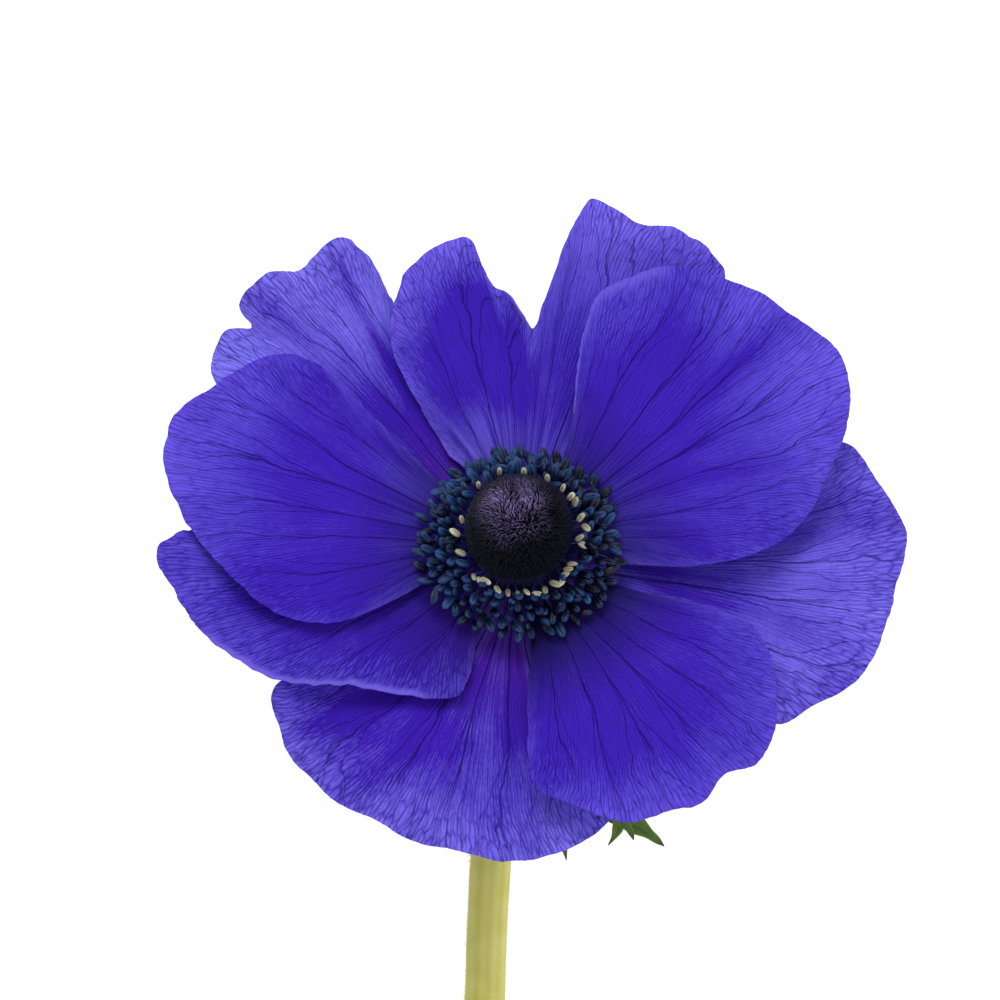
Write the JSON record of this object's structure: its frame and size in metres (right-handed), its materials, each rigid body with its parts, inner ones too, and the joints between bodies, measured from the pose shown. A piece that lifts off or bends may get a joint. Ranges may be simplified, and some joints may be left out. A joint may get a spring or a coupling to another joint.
{
  "type": "anemone flower",
  "caption": "Cut anemone lying on its stem: waved tepals in layers round a dark dome of carpels with rings of stamens, and divided bracts behind the bloom.",
  "frame": {"origin": "under the middle of the whole, on the surface that the flower lies on", "axes": "+Z up from the surface, +Y from the cut end of the stem towards the bloom, +X to the right of the bloom seen from above with +Y up"},
  "size_m": [0.085, 0.163, 0.0329],
  "materials": {
    "stem": "satin",
    "bract": "matte",
    "tepal": "matte",
    "stamen_dark": "matte",
    "stamen_pale": "matte",
    "carpel": "matte"
  },
  "bodies": {
    "root": {"stem": "stem", "bract_right": "bract", "bract_left": "bract", "bract_upper": "bract", "tepal_inner_right": "tepal", "tepal_inner_left": "tepal", "tepal_inner_lower": "tepal", "tepal_middle_top": "tepal", "tepal_middle_left": "tepal", "tepal_outer_top_left": "tepal", "tepal_outer_right": "tepal", "tepal_outer_bottom": "tepal", "stamens_dark": "stamen_dark", "stamens_pale": "stamen_pale", "dome": "carpel"}
  },
  "joints": []
}
